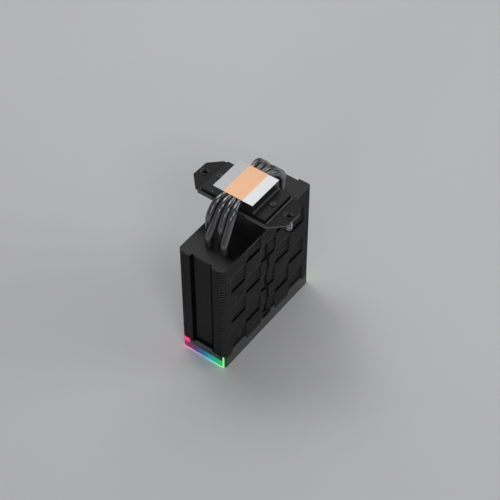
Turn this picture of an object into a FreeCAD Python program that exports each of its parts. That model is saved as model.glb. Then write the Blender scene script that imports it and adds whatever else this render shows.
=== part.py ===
import FreeCAD, Part
import math
import os

# A fan-less single-tower CPU cooler, standing upside down on its plastic top cover.
# Millimetres.  X runs along the 120 mm wide face, Y through the 45 mm depth, +Z goes from the
# cover (outer face at z = 0) up through the fin stack to the contact face of the base (z = 158).

# ---------------------------------------------------------------- driving dimensions
TOTAL_HEIGHT = 158.0            # cover face to contact face

# fin stack
FIN_LENGTH = 120.0              # along X
FIN_DEPTH = 44.8                # along Y
FIN_THICKNESS = 0.4
FIN_PITCH = 55.0 / 27.0         # nine fins to a row of 18.33 mm
FINS_PER_ROW = 9
ROW_COUNT = 6
STACK_BOTTOM = 12.9             # lower boundary of the first row
FIN_COUNT = 53                  # the last row holds seven fins and the top fin
FIN_CORNER_RADIUS = 3.5
CELL_RECESS = 2.0               # depth of the recessed cells of the wide faces
CELL_EDGES = (-50.0, -30.0, -10.0, 10.0, 30.0, 50.0)
END_RECESS_HALF = 10.0          # the narrow ends are set back between these |y|
END_RECESS = 2.0
SLOT_CENTRE = -0.4              # upright slot in the middle of each wide face
SLOT_WIDTH = 4.0
SLOT_DEPTH = 6.5
KEYHOLE_LEFT = -4.0             # the slot widens at its lower end
KEYHOLE_FINS = (2, 3)
FLANGE_GAP = 0.06               # air left under each folded flange
FLANGES = ((0.0, 7.8, END_RECESS), (14.1, 3.0, 0.0), (-14.1, 3.0, 0.0))  # y, half width, set-back

# heat pipes: four U shaped pipes, squeezed side by side in the base
PIPE_RADIUS = 3.0
PIPE_PITCH = 4.6                # between pipes in the base
PIPE_AXIS_Z = 155.0             # axis of the run through the base
PIPE_HALF_WIDTH = 2.295         # squeezed section in the base
LEG_HALF_WIDTH = 2.24           # squeezed section where a leg leaves the base
LEG_HALF_HEIGHT = 2.95
ROUNDING_LENGTH = 15.0          # from the base to where a leg is round again
RUN_CENTRE_Z = 154.3            # centre of the round underside of the run in the base
PIPE_TIP_Z = 6.5                # sealed tips inside the cover
PIPE_TIP_RADIUS = 1.2
PIPE_TIP_LENGTH = 4.0
LEG_LOFT_BOTTOM = 118.0         # the legs are plain cylinders below this
STATION_PITCH = 1.8             # between the sections of a bent leg
SECTION_POINTS = 16
PIPE_HOLE_CLEARANCE = 0.05
MILLED_EDGE = 0.03              # broken edge of the milled flat
COLLAR_HEIGHT = 1.5
COLLAR_THICKNESS = 0.3

# base and its mounting hardware
BASE_LENGTH = 35.2              # contact face along X
BASE_WIDTH = 38.4               # contact face along Y
SHELF_TOP = 149.5               # black base plate
SHELF_HALF_WIDTH = 31.2
WING_TOP = 146.0                # steel bar under the base plate
BAR_THICKNESS = 1.6
SCREW_SPACING = 82.4            # between the two spring screws
FIXING_SPACING = 52.0           # between the two screws that hold the bar

# spring screws
SCREW_SHOULDER_RADIUS = 2.08
WING_HOLE_RADIUS = 2.15
SCREW_HEAD_RADIUS = 3.1
SCREW_HEAD_BOTTOM = 130.0
SCREW_HEAD_HEIGHT = 2.6
WASHER_THICKNESS = 0.5
WASHER_RADIUS = 3.25
SCREW_TIP_Z = 147.9
THREAD_RADIUS = 1.5
SPRING_MEAN_RADIUS = 2.75
SPRING_WIRE_RADIUS = 0.42
SPRING_TURNS = 6.0
CLIP_THICKNESS = 0.6
CLIP_RADIUS = 3.7
DIMPLE_RADIUS = 4.6              # shallow seat round each wing hole
DIMPLE_DEPTH = 0.4
GROOVE_RADIUS = 1.3
RUNNING_GAP = 0.05

# cover
COVER_LENGTH = 121.3
COVER_WIDTH = 45.1
COVER_WALL = 1.2
COVER_FLOOR = 2.0
COVER_WALL_TOP = 11.0
COVER_CORNER_RADIUS = 4.0
POCKET_X = 59.5                 # the light strips sit outside this plane
UPRIGHT_INNER_Y = 19.9          # inner edge of the lit corner uprights
UPRIGHT_TOP = 13.4
DIFFUSER_TOP = 8.7
GUIDE_LINE_TOP = 1.35           # lit line along the bottom edge
TONGUE_INNER_Y = 14.1           # lit tongue beside one upright
TONGUE_TOP = 13.2
WINDOW_HALF_Y = 16.8            # window of the end wall in front of the diodes
BOARD_THICKNESS = 1.0
BOARD_HALF_Y = 19.3
BOARD_FACE_X = POCKET_X - COVER_WALL - 0.02
BOARD_MID_Z = 5.5
BOARD_SCREW_Y = 18.1
BOARD_SCREW_RADIUS = 0.6
LED_COUNT = 6
LED_PITCH = 5.6
FIT = 0.02                      # air around fixed screws

Vector = FreeCAD.Vector


# ---------------------------------------------------------------- helpers
def box(x0, x1, y0, y1, z0, z1):
    """Axis-aligned block between two corners."""
    return Part.makeBox(x1 - x0, y1 - y0, z1 - z0, Vector(x0, y0, z0))


def cylinder(radius, x, y, z0, z1):
    """Upright cylinder."""
    return Part.makeCylinder(radius, z1 - z0, Vector(x, y, z0))


def prism(points, z0, z1):
    """Upright prism on a closed plan outline."""
    corners = [Vector(x, y, z0) for x, y in points]
    corners.append(corners[0])
    return Part.Face(Part.makePolygon(corners)).extrude(Vector(0, 0, z1 - z0))


def rounded_plate(length, width, radius, z0, z1):
    """Block centred on the Z axis with rounded upright edges."""
    block = box(-length / 2, length / 2, -width / 2, width / 2, z0, z1)
    upright = [e for e in block.Edges if abs(e.tangentAt(e.FirstParameter).z) > 0.99]
    return block.makeFillet(radius, upright)


def union(shapes):
    """One solid from several."""
    result = shapes[0]
    for shape in shapes[1:]:
        result = result.fuse(shape)
    return result.removeSplitter()


def moved(shape, x=0.0, y=0.0, z=0.0):
    """Copy of a shape, shifted."""
    copy = shape.copy()
    copy.translate(Vector(x, y, z))
    return copy


def turned(shape, angle):
    """Copy of a shape turned about the Z axis."""
    copy = shape.copy()
    copy.rotate(Vector(0, 0, 0), Vector(0, 0, 1), angle)
    return copy


def save(name, shapes):
    """Write the solids of one sub-part."""
    solids = [solid for shape in shapes for solid in shape.Solids]
    whole = solids[0] if len(solids) == 1 else Part.makeCompound(solids)
    whole.exportStep("parts/" + name + ".step")
    print(name, "solids", len(solids), "volume", round(whole.Volume, 1), "valid", whole.isValid())


# ---------------------------------------------------------------- heat pipes
# Each leg: first bend (x, y), lower bend (x, y, z) and the two bend radii.  The feet of the
# +X legs are those of the -X legs turned half a turn about Z.  By the first bend the pipes
# have fanned out far enough to be round.
PIPE_BASE_Y = [PIPE_PITCH * step for step in (1.5, 0.5, -0.5, -1.5)]
FOOT_A = (34.6, 10.5)
FOOT_B = (42.3, 5.6)
FOOT_C = (36.8, 3.1)
FOOT_D = (42.5, 9.7)
LEFT_LEGS = (
    ((-26.2, 9.15), (-FOOT_A[0], FOOT_A[1], 142.5), 12.0, 14.0),
    ((-27.1, 2.9), (-FOOT_B[0], FOOT_B[1], 126.5), 13.0, 14.0),
    ((-27.6, -3.15), (-FOOT_C[0], -FOOT_C[1], 139.0), 13.0, 14.0),
    ((-28.6, -9.2), (-FOOT_D[0], -FOOT_D[1], 127.0), 13.0, 14.0),
)
RIGHT_LEGS = (
    ((28.0, 9.2), (FOOT_D[0], FOOT_D[1], 138.0), 14.0, 12.0),
    ((28.4, 3.05), (FOOT_C[0], FOOT_C[1], 141.0), 13.0, 14.0),
    ((27.6, -3.1), (FOOT_B[0], -FOOT_B[1], 137.0), 14.0, 12.0),
    ((27.0, -9.2), (FOOT_A[0], -FOOT_A[1], 142.0), 13.0, 12.0),
)
FEET = [leg[1][:2] for leg in LEFT_LEGS + RIGHT_LEGS]


def rounded_route(start, bend, knee, end, first_radius, second_radius):
    """Wire of straight runs joined by two tangent arcs."""
    edges = []
    here = start
    for before, corner, after, radius in ((start, bend, knee, first_radius),
                                          (bend, knee, end, second_radius)):
        to_before = (before - corner).normalize()
        to_after = (after - corner).normalize()
        half_angle = to_before.getAngle(to_after) / 2
        bisector = (to_before + to_after).normalize()
        centre = corner + bisector * (radius / math.sin(half_angle))
        arc_start = corner + to_before * (radius / math.tan(half_angle))
        arc_end = corner + to_after * (radius / math.tan(half_angle))
        edges.append(Part.LineSegment(here, arc_start).toShape())
        edges.append(Part.Arc(arc_start, centre - bisector * radius, arc_end).toShape())
        here = arc_end
    edges.append(Part.LineSegment(here, end).toShape())
    return Part.Wire(edges)


def pipe_section(point, direction, squeeze, radius=PIPE_RADIUS):
    """Closed section across a pipe leg: 1 is squeezed as at the base, 0 is round."""
    across = Vector(0, 1, 0)
    across = (across - direction * across.dot(direction)).normalize()
    upward = direction.cross(across)
    half_width = radius + (LEG_HALF_WIDTH - radius) * squeeze
    half_height = radius + (LEG_HALF_HEIGHT - radius) * squeeze
    power = 2.0 / (2.0 + 0.6 * squeeze)
    corners = []
    for step in range(SECTION_POINTS):
        angle = 2 * math.pi * step / SECTION_POINTS
        c, s = math.cos(angle), math.sin(angle)
        u = half_width * math.copysign(abs(c) ** power, c)
        v = half_height * math.copysign(abs(s) ** power, s)
        corners.append(point + across * u + upward * v)
    curve = Part.BSplineCurve()
    curve.interpolate(corners, PeriodicFlag=True)
    return Part.Wire(curve.toShape())


def pipe_leg(base_y, leg):
    """Squeezed start at the base, two bends, upright run and conical sealed tip."""
    (bend_x, bend_y), (foot_x, foot_y, foot_z), first_radius, second_radius = leg
    side = math.copysign(1.0, foot_x)
    start = Vector(side * BASE_LENGTH / 2, base_y, PIPE_AXIS_Z)
    bend = Vector(bend_x, bend_y, PIPE_AXIS_Z)
    knee = Vector(foot_x, foot_y, foot_z)
    end = Vector(foot_x, foot_y, LEG_LOFT_BOTTOM)
    route = rounded_route(start, bend, knee, end, first_radius, second_radius)
    count = int(route.Length / STATION_PITCH) + 1
    points = route.discretize(Number=count)
    sections = []
    for place, point in enumerate(points):
        ahead = points[min(place + 1, count - 1)]
        behind = points[max(place - 1, 0)]
        direction = (ahead - behind).normalize()
        if place == 0:
            direction = Vector(side, 0, 0)
        elif place == count - 1:
            direction = Vector(0, 0, -1)
        travelled = min(1.0, place * route.Length / (count - 1) / ROUNDING_LENGTH)
        squeeze = 1.0 - travelled * travelled * (3.0 - 2.0 * travelled)
        sections.append(pipe_section(point, direction, squeeze))
    bent = Part.makeLoft(sections, True, False)
    down = Vector(0, 0, -1)
    tip_top = Vector(foot_x, foot_y, PIPE_TIP_Z + PIPE_TIP_LENGTH)
    straight = Part.Face(sections[-1]).extrude(tip_top - end)
    tip_sections = [pipe_section(tip_top, down, 0.0),
                    pipe_section(tip_top + down * PIPE_TIP_LENGTH, down, 0.0, PIPE_TIP_RADIUS)]
    return [bent, straight, Part.makeLoft(tip_sections, True, True)]


def base_run(base_y, half_width, x_half, top):
    """The stretch of pipe pressed into the base: flat on top, round below."""
    body = box(-x_half, x_half, base_y - half_width, base_y + half_width, RUN_CENTRE_Z, top)
    below = Part.makeCylinder(half_width, 2 * x_half, Vector(-x_half, base_y, RUN_CENTRE_Z),
                              Vector(1, 0, 0))
    return body.fuse(below).removeSplitter()


def heat_pipe(index):
    """One whole pipe; the run through the base is milled flush with the contact face."""
    base_y = PIPE_BASE_Y[index]
    half = BASE_LENGTH / 2
    run = base_run(base_y, PIPE_HALF_WIDTH, half, TOTAL_HEIGHT)
    upper_edges = [e for e in run.Edges
                   if e.BoundBox.ZMin > TOTAL_HEIGHT - 1e-6 and e.BoundBox.XLength > half]
    whole = run.makeChamfer(MILLED_EDGE, upper_edges)
    for piece in pipe_leg(base_y, LEFT_LEGS[index]) + pipe_leg(base_y, RIGHT_LEGS[index]):
        whole = whole.fuse(piece)
    return whole


# ---------------------------------------------------------------- fins
def fin_outline(kind):
    """Plain plate of one fin kind: even rows, odd rows, or the straight-edged top fin."""
    plate = rounded_plate(FIN_LENGTH, FIN_DEPTH, FIN_CORNER_RADIUS, 0.0, FIN_THICKNESS)
    cuts = []
    half_depth = FIN_DEPTH / 2
    recessed = {"even": (0, 2, 4), "odd": (1, 3), "seat": (0, 2, 4), "top": ()}[kind]
    for column in recessed:
        x0, x1 = CELL_EDGES[column], CELL_EDGES[column + 1]
        cuts.append(box(x0, x1, half_depth - CELL_RECESS, half_depth + 1, -1, 1))
        cuts.append(box(x0, x1, -half_depth - 1, -half_depth + CELL_RECESS, -1, 1))
    for side in (-1, 1):
        inner = side * (FIN_LENGTH / 2 - END_RECESS)
        outer = side * (FIN_LENGTH / 2 + 1)
        cuts.append(box(min(inner, outer), max(inner, outer),
                        -END_RECESS_HALF, END_RECESS_HALF, -1, 1))
    return plate.cut(Part.makeCompound(cuts))


def slot_cut(left, right):
    """The slot of both wide faces, as a pair of blocks."""
    half_depth = FIN_DEPTH / 2
    front = box(left, right, -half_depth - 1, -half_depth + SLOT_DEPTH, -1, 1)
    return Part.makeCompound([front, turned(front, 180.0)])


def fin(kind, slot=None):
    """One fin: plate with pipe holes, burred collars and flanges folded towards the cover."""
    plate = fin_outline(kind)
    if slot:
        plate = plate.cut(slot_cut(*slot))
    hole_radius = PIPE_RADIUS + PIPE_HOLE_CLEARANCE
    additions = []
    holes = []
    for x, y in FEET:
        additions.append(cylinder(hole_radius + COLLAR_THICKNESS, x, y, -COLLAR_HEIGHT, 0.0))
        holes.append(cylinder(hole_radius, x, y, -COLLAR_HEIGHT - 1, 1.0))
    flange_bottom = -(FIN_PITCH - FIN_THICKNESS - FLANGE_GAP)
    for side in (-1, 1):
        for y, half_width, set_back in FLANGES:
            outer = side * (FIN_LENGTH / 2 - set_back)
            inner = outer - side * FIN_THICKNESS
            additions.append(box(min(inner, outer), max(inner, outer),
                                 y - half_width, y + half_width, flange_bottom, 0.0))
    body = plate.fuse(additions).removeSplitter()
    return body.cut(Part.makeCompound(holes))


def fin_level(index):
    """Underside of the plate of one fin."""
    return STACK_BOTTOM + FIN_PITCH * (index + 0.5) - FIN_THICKNESS / 2


def build_fins():
    """Six rows of fins and the straight-edged top fin next to the base."""
    plain_slot = (SLOT_CENTRE - SLOT_WIDTH / 2, SLOT_CENTRE + SLOT_WIDTH / 2)
    key_slot = (KEYHOLE_LEFT, SLOT_CENTRE + SLOT_WIDTH / 2)
    patterns = {
        "seat": fin("seat"),
        "key": fin("even", key_slot),
        "even": fin("even", plain_slot),
        "odd": fin("odd", plain_slot),
        "last": fin("odd"),
    }
    for row in range(ROW_COUNT):
        solids = []
        for place in range(FINS_PER_ROW):
            index = row * FINS_PER_ROW + place
            if index >= FIN_COUNT - 1:
                break
            if index < KEYHOLE_FINS[0]:
                pattern = "seat"
            elif index in KEYHOLE_FINS:
                pattern = "key"
            elif row == ROW_COUNT - 1:
                pattern = "last"
            else:
                pattern = "even" if row % 2 == 0 else "odd"
            solids.append(moved(patterns[pattern], z=fin_level(index)))
        save("fin_row_%d" % (row + 1), solids)
    save("top_fin", [moved(fin("top"), z=fin_level(FIN_COUNT - 1))])


# ---------------------------------------------------------------- base and bracket
LIP_WIDTH = 1.3                 # thin foot along the two long sides of the block
LIP_HEIGHT = 0.7
SHELF_BOTTOM = WING_TOP         # the base plate lies on the bar
FIXING_THREAD_RADIUS = 1.4
FIXING_HEAD_RADIUS = 2.7
FIXING_HEAD_HEIGHT = 1.4
PLATE_HALF_LENGTH = BASE_LENGTH / 2
BAR_HALF_LENGTH = 18.8          # along X
CLIP_SEAT = WING_TOP - 0.02 - DIMPLE_DEPTH


def base_block():
    """Aluminium block with four open channels for the pipes."""
    half_x, half_y = BASE_LENGTH / 2, BASE_WIDTH / 2
    block = box(-half_x, half_x, -half_y, half_y, SHELF_TOP, TOTAL_HEIGHT)
    lip = box(-half_x, half_x, -half_y - LIP_WIDTH, half_y + LIP_WIDTH,
              SHELF_TOP, SHELF_TOP + LIP_HEIGHT)
    body = union([block, lip])
    for base_y in PIPE_BASE_Y:
        body = body.cut(base_run(base_y, PIPE_PITCH / 2, half_x + 1, TOTAL_HEIGHT + 1))
    return body


def base_plate():
    """Black die-cast plate under the block, with relief flutes under the pipe exits."""
    plate = box(-PLATE_HALF_LENGTH, PLATE_HALF_LENGTH, -SHELF_HALF_WIDTH, SHELF_HALF_WIDTH,
                SHELF_BOTTOM, SHELF_TOP)
    upright = [e for e in plate.Edges if abs(e.tangentAt(e.FirstParameter).z) > 0.99]
    plate = plate.makeFillet(1.0, upright)
    cuts = []
    for side in (-1, 1):
        cuts.append(cylinder(FIXING_THREAD_RADIUS + FIT, 0, side * FIXING_SPACING / 2,
                             SHELF_BOTTOM - 1, SHELF_TOP + 1))
        for flute in range(5):
            centre_y = (flute - 2) * 6.6
            cuts.append(cylinder(2.4, side * (PLATE_HALF_LENGTH + 1.2), centre_y,
                                 SHELF_BOTTOM - 1, SHELF_TOP - 0.8))
    return plate.cut(Part.makeCompound(cuts))


def mounting_bar():
    """Stamped steel bar: middle under the base plate, a drilled wing at each end."""
    top, bottom = WING_TOP - 0.02, WING_TOP - BAR_THICKNESS
    half = prism([(BAR_HALF_LENGTH, 0.0), (BAR_HALF_LENGTH, 36.0), (9.0, 46.4), (-7.2, 47.0),
                  (-BAR_HALF_LENGTH, 36.0), (-BAR_HALF_LENGTH, 0.0)], bottom, top)
    tips = [e for e in half.Edges if e.BoundBox.ZLength > 1.0 and e.BoundBox.YMin > 40.0]
    half = half.makeFillet(3.0, tips)
    plate = union([half, turned(half, 180.0)])
    pieces = [plate]
    for side in (-1, 1):
        # raised bead where each wing leaves the base plate
        bead_y = side * (SHELF_HALF_WIDTH + 1.1)
        bead = Part.makeCylinder(0.7, 2 * PLATE_HALF_LENGTH, Vector(-PLATE_HALF_LENGTH, bead_y, top - 0.1),
                                 Vector(1, 0, 0))
        pieces.append(bead)
        # folded stiffening flanges along both long sides
        for end in (-1, 1):
            inner_y, outer_y = end * 13.0, end * 34.0
            x_outer = side * BAR_HALF_LENGTH
            x_inner = side * (BAR_HALF_LENGTH - BAR_THICKNESS)
            pieces.append(box(min(x_inner, x_outer), max(x_inner, x_outer),
                              min(inner_y, outer_y), max(inner_y, outer_y),
                              bottom - 2.6, bottom + 0.5))
    body = union(pieces)
    holes = []
    for side in (-1, 1):
        holes.append(cylinder(WING_HOLE_RADIUS, 0, side * SCREW_SPACING / 2, bottom - 4, top + 4))
        holes.append(cylinder(DIMPLE_RADIUS, 0, side * SCREW_SPACING / 2, CLIP_SEAT, top + 4))
        holes.append(cylinder(FIXING_THREAD_RADIUS + FIT, 0, side * FIXING_SPACING / 2,
                              bottom - 4, top + 4))
    return body.cut(Part.makeCompound(holes))


def cross_recess(x, y, z_open, depth, upward):
    """Cutter for a cross-head recess that opens at z_open."""
    z0, z1 = (z_open - depth, z_open + 1) if upward else (z_open - 1, z_open + depth)
    arm = 1.45
    bar_a = box(x - arm, x + arm, y - 0.4, y + 0.4, z0, z1)
    bar_b = box(x - 0.4, x + 0.4, y - arm, y + arm, z0, z1)
    return bar_a.fuse(bar_b)


def fixing_screw(side):
    """Pan-head screw that clamps the base plate to the bar."""
    y = side * FIXING_SPACING / 2
    head = cylinder(FIXING_HEAD_RADIUS, 0, y, SHELF_TOP + FIT, SHELF_TOP + FIXING_HEAD_HEIGHT)
    rim = [e for e in head.Edges if abs(e.BoundBox.ZMin - SHELF_TOP - FIXING_HEAD_HEIGHT) < 1e-6
           and e.BoundBox.ZLength < 1e-6]
    head = head.makeFillet(0.6, rim)
    shank = cylinder(FIXING_THREAD_RADIUS, 0, y, WING_TOP - BAR_THICKNESS - 0.6, SHELF_TOP + 0.5)
    recess = cross_recess(0, y, SHELF_TOP + FIXING_HEAD_HEIGHT, 0.9, True)
    return head.fuse(shank).removeSplitter().cut(recess)


# ---------------------------------------------------------------- spring screws
def spring_screw(y):
    """Shouldered screw: head on the fin side, grooved end through the wing."""
    head_top = SCREW_HEAD_BOTTOM + SCREW_HEAD_HEIGHT
    groove_bottom = CLIP_SEAT + RUNNING_GAP
    groove_top = groove_bottom + CLIP_THICKNESS + 0.05
    head = cylinder(SCREW_HEAD_RADIUS, 0, y, SCREW_HEAD_BOTTOM, head_top)
    rim = [e for e in head.Edges if e.BoundBox.ZMax < SCREW_HEAD_BOTTOM + 1e-6]
    head = head.makeFillet(0.6, rim)
    shank = cylinder(SCREW_SHOULDER_RADIUS, 0, y, head_top - 0.5, groove_bottom)
    neck = cylinder(GROOVE_RADIUS, 0, y, groove_bottom - 0.5, groove_top + 0.5)
    collar = cylinder(SCREW_SHOULDER_RADIUS - 0.1, 0, y, groove_top, groove_top + 0.35)
    tip = cylinder(THREAD_RADIUS, 0, y, groove_top + 0.1, SCREW_TIP_Z)
    end = [e for e in tip.Edges if e.BoundBox.ZMin > SCREW_TIP_Z - 1e-6]
    tip = tip.makeChamfer(0.3, end)
    body = union([head, shank, neck, collar, tip])
    return body.cut(cross_recess(0, y, SCREW_HEAD_BOTTOM, 1.5, False))


def retaining_clip(y):
    """E-shaped clip in the groove of the screw."""
    z0 = CLIP_SEAT + RUNNING_GAP
    z1 = z0 + CLIP_THICKNESS
    ring = cylinder(CLIP_RADIUS, 0, y, z0, z1)
    bore = cylinder(GROOVE_RADIUS + 0.02, 0, y, z0 - 1, z1 + 1)
    mouth = box(-1.35, 1.35, y - CLIP_RADIUS - 1, y, z0 - 1, z1 + 1)
    clip = ring.cut(bore).cut(mouth)
    for angle in (20.0, 160.0):
        x = 2.55 * math.cos(math.radians(angle))
        dy = 2.55 * math.sin(math.radians(angle))
        clip = clip.cut(cylinder(0.75, x, y + dy, z0 - 1, z1 + 1))
    return clip


def spring_washer(y):
    """Flat washer between the screw head and the spring."""
    z0 = SCREW_HEAD_BOTTOM + SCREW_HEAD_HEIGHT + FIT
    z1 = z0 + WASHER_THICKNESS
    bore = cylinder(SCREW_SHOULDER_RADIUS + RUNNING_GAP, 0, y, z0 - 1, z1 + 1)
    return cylinder(WASHER_RADIUS, 0, y, z0, z1).cut(bore)


def spring(y):
    """Coil spring between the washer and the wing."""
    bottom = SCREW_HEAD_BOTTOM + SCREW_HEAD_HEIGHT + WASHER_THICKNESS + 0.1 + SPRING_WIRE_RADIUS
    top = WING_TOP - BAR_THICKNESS - 0.1 - SPRING_WIRE_RADIUS
    pitch = (top - bottom) / SPRING_TURNS
    helix = Part.makeHelix(pitch, top - bottom, SPRING_MEAN_RADIUS)
    start = Vector(SPRING_MEAN_RADIUS, 0, 0)
    profile = Part.Wire(Part.makeCircle(SPRING_WIRE_RADIUS, start, Vector(0, 1, 0)))
    coil = Part.Wire(helix.Edges).makePipeShell([profile], True, True)
    return moved(coil, y=y, z=bottom)


# ---------------------------------------------------------------- cover
TAB_INNER_Y = COVER_WIDTH / 2 - COVER_WALL
LOBE_TAB_X = 60.08              # tabs in front of the flush flanges are thin
LOBE_TAB_THICKNESS = COVER_LENGTH / 2 - LOBE_TAB_X


def wall_tab(outline, side):
    """Raised part of a long side wall, from its (x, z) outline."""
    corners = [Vector(x, side * TAB_INNER_Y, z) for x, z in outline]
    corners.append(corners[0])
    return Part.Face(Part.makePolygon(corners)).extrude(Vector(0, side * COVER_WALL, 0))


def end_tab(outline, side, x_inner, thickness):
    """Raised part of an end wall, from its (y, z) outline as seen on the -X end."""
    corners = [Vector(side * x_inner, y * -side, z) for y, z in outline]
    corners.append(corners[0])
    return Part.Face(Part.makePolygon(corners)).extrude(Vector(side * thickness, 0, 0))


def cover_shell():
    """Tray with raised snap tabs, open corners for the light guides and inner posts."""
    half_x, half_y = COVER_LENGTH / 2, COVER_WIDTH / 2
    outer = rounded_plate(COVER_LENGTH, COVER_WIDTH, COVER_CORNER_RADIUS, 0.0, COVER_WALL_TOP)
    rim = [e for e in outer.Edges if e.BoundBox.ZMax < 1e-6]
    outer = outer.makeFillet(0.5, rim)
    hollow = rounded_plate(2 * (POCKET_X - COVER_WALL), COVER_WIDTH - 2 * COVER_WALL, 2.0,
                           COVER_FLOOR, COVER_WALL_TOP + 1)
    shell = outer.cut(hollow)
    tabs = []
    tab_outlines = (
        [(-50.9, 9.0), (-49.7, 13.5), (-48.8, 15.8), (-31.6, 15.8), (-30.3, 9.0)],
        [(-10.2, 9.0), (-9.6, 15.6), (-7.6, 15.6), (-6.8, 12.4), (3.4, 12.4), (5.2, 15.7),
         (9.6, 15.7), (10.2, 9.0)],
        [(29.6, 9.0), (30.6, 15.0), (48.8, 15.0), (50.6, 9.0)],
    )
    for side in (-1, 1):
        for outline in tab_outlines:
            tabs.append(wall_tab(outline, side))
    for side in (-1, 1):
        tabs.append(end_tab([(-10.0, 8.9), (-9.2, 15.9), (8.2, 15.9), (9.4, 8.9)], side, POCKET_X, 0.85))
        tabs.append(end_tab([(-17.0, 8.9), (-16.4, 14.0), (-9.6, 14.2), (-9.6, 8.9)], side,
                            LOBE_TAB_X, LOBE_TAB_THICKNESS))
        tabs.append(end_tab([(9.0, 8.9), (9.0, 13.4), (14.0, 13.1), (14.0, 8.9)], side,
                            LOBE_TAB_X, LOBE_TAB_THICKNESS))
    shell = union([shell] + tabs)
    pockets = []
    for side in (-1, 1):
        x0, x1 = sorted((side * POCKET_X, side * (half_x + 1)))
        pockets.append(box(x0, x1, -UPRIGHT_INNER_Y, UPRIGHT_INNER_Y, -1, DIFFUSER_TOP))
        for end in (-1, 1):
            y0, y1 = sorted((end * UPRIGHT_INNER_Y, end * (half_y + 1)))
            pockets.append(box(x0, x1, y0, y1, -1, UPRIGHT_TOP + 1))
        x0, x1 = sorted((side * LOBE_TAB_X, side * (half_x + 1)))
        y0, y1 = sorted((-side * (TONGUE_INNER_Y - 0.05), -side * (UPRIGHT_INNER_Y + 0.5)))
        pockets.append(box(x0, x1, y0, y1, DIFFUSER_TOP - 0.1, TONGUE_TOP + 1))
        x0, x1 = sorted((side * (POCKET_X - COVER_WALL - 1), side * (POCKET_X + 1)))
        pockets.append(box(x0, x1, -WINDOW_HALF_Y, WINDOW_HALF_Y, 2.8, 8.2))
        for end in (-1, 1):
            pockets.append(board_screw_hole(side, end, COVER_WALL + 0.8))
    shell = shell.cut(Part.makeCompound(pockets))
    posts = []
    for x in (-50.0, 50.0):
        for y in (-15.0, 15.0):
            posts.append(cylinder(2.5, x, y, COVER_FLOOR - 0.5, fin_level(0) - 1.8))
    return union([shell] + posts)


def light_guide(side):
    """Clear U-shaped guide: line along the bottom edge and a lit upright at each corner."""
    outer = rounded_plate(COVER_LENGTH, COVER_WIDTH, COVER_CORNER_RADIUS, 0.2, UPRIGHT_TOP)
    x0, x1 = sorted((side * (POCKET_X + 0.05), side * (COVER_LENGTH / 2 + 1)))
    end = outer.common(box(x0, x1, -30, 30, 0.0, 20.0))
    window = box(x0 - 1, x1 + 1, -UPRIGHT_INNER_Y - 0.1, UPRIGHT_INNER_Y + 0.1, GUIDE_LINE_TOP, 20.0)
    # lit tongue beside one upright, in front of the fins
    x0, x1 = sorted((side * (LOBE_TAB_X + 0.02), side * (COVER_LENGTH / 2 - 0.05)))
    y0, y1 = sorted((-side * TONGUE_INNER_Y, -side * (UPRIGHT_INNER_Y + 0.4)))
    tongue = box(x0, x1, y0, y1, DIFFUSER_TOP + 0.05, TONGUE_TOP)
    return union([end.cut(window), tongue])


def diffuser(side):
    """Frosted panel between the uprights."""
    x0, x1 = sorted((side * (POCKET_X + 0.1), side * (COVER_LENGTH / 2 - 0.35)))
    return box(x0, x1, -UPRIGHT_INNER_Y, UPRIGHT_INNER_Y, GUIDE_LINE_TOP + 0.05, DIFFUSER_TOP - 0.05)


def board_screw_hole(side, end, reach):
    """Cutter for one screw hole of a circuit board, reach to each side of the board's face."""
    centre = Vector(side * BOARD_FACE_X - reach, end * BOARD_SCREW_Y, BOARD_MID_Z)
    return Part.makeCylinder(BOARD_SCREW_RADIUS + FIT, 2 * reach, centre, Vector(1, 0, 0))


def led_board(side):
    """Slim circuit board behind the end wall, with two screw holes."""
    x0, x1 = sorted((side * BOARD_FACE_X, side * (BOARD_FACE_X - BOARD_THICKNESS)))
    board = box(x0, x1, -BOARD_HALF_Y, BOARD_HALF_Y, 2.1, 9.0)
    for end in (-1, 1):
        board = board.cut(board_screw_hole(side, end, 3.0))
    return board


def leds(side):
    """Row of light-emitting diodes on one board."""
    solids = []
    x0, x1 = sorted((side * (BOARD_FACE_X + 0.01), side * (BOARD_FACE_X + 0.8)))
    for place in range(LED_COUNT):
        y = (place - (LED_COUNT - 1) / 2) * LED_PITCH
        solids.append(box(x0, x1, y - 1.25, y + 1.25, BOARD_MID_Z - 1.25, BOARD_MID_Z + 1.25))
    return solids


def board_screws(side):
    """Two small screws from the inside through the board into the end wall."""
    solids = []
    back = side * (BOARD_FACE_X - BOARD_THICKNESS - 0.02)
    for end in (-1, 1):
        centre = Vector(back, end * BOARD_SCREW_Y, BOARD_MID_Z)
        head = Part.makeCylinder(1.1, 0.7, centre, Vector(-side, 0, 0))
        shank = Part.makeCylinder(BOARD_SCREW_RADIUS, 2.1, centre, Vector(side, 0, 0))
        solids.append(head.fuse(shank).removeSplitter())
    return solids


# ---------------------------------------------------------------- build
os.makedirs("parts", exist_ok=True)

build_fins()
for pipe_index in range(len(PIPE_BASE_Y)):
    save("heat_pipe_%d" % (pipe_index + 1), [heat_pipe(pipe_index)])
save("base_block", [base_block()])
save("base_plate", [base_plate()])
save("mounting_bar", [mounting_bar()])
save("bar_fixing_screws", [fixing_screw(-1), fixing_screw(1)])
for side_name, side_sign in (("front", -1), ("rear", 1)):
    axis_y = side_sign * SCREW_SPACING / 2
    save("spring_screw_" + side_name, [spring_screw(axis_y)])
    save("retaining_clip_" + side_name, [retaining_clip(axis_y)])
    save("spring_washer_" + side_name, [spring_washer(axis_y)])
    save("spring_" + side_name, [spring(axis_y)])
save("cover_shell", [cover_shell()])
for end_name, end_sign in (("left", -1), ("right", 1)):
    save("light_guide_" + end_name, [light_guide(end_sign)])
    save("diffuser_" + end_name, [diffuser(end_sign)])
    save("led_board_" + end_name, [led_board(end_sign)])
    save("leds_" + end_name, leds(end_sign))
    save("board_screws_" + end_name, board_screws(end_sign))
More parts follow.
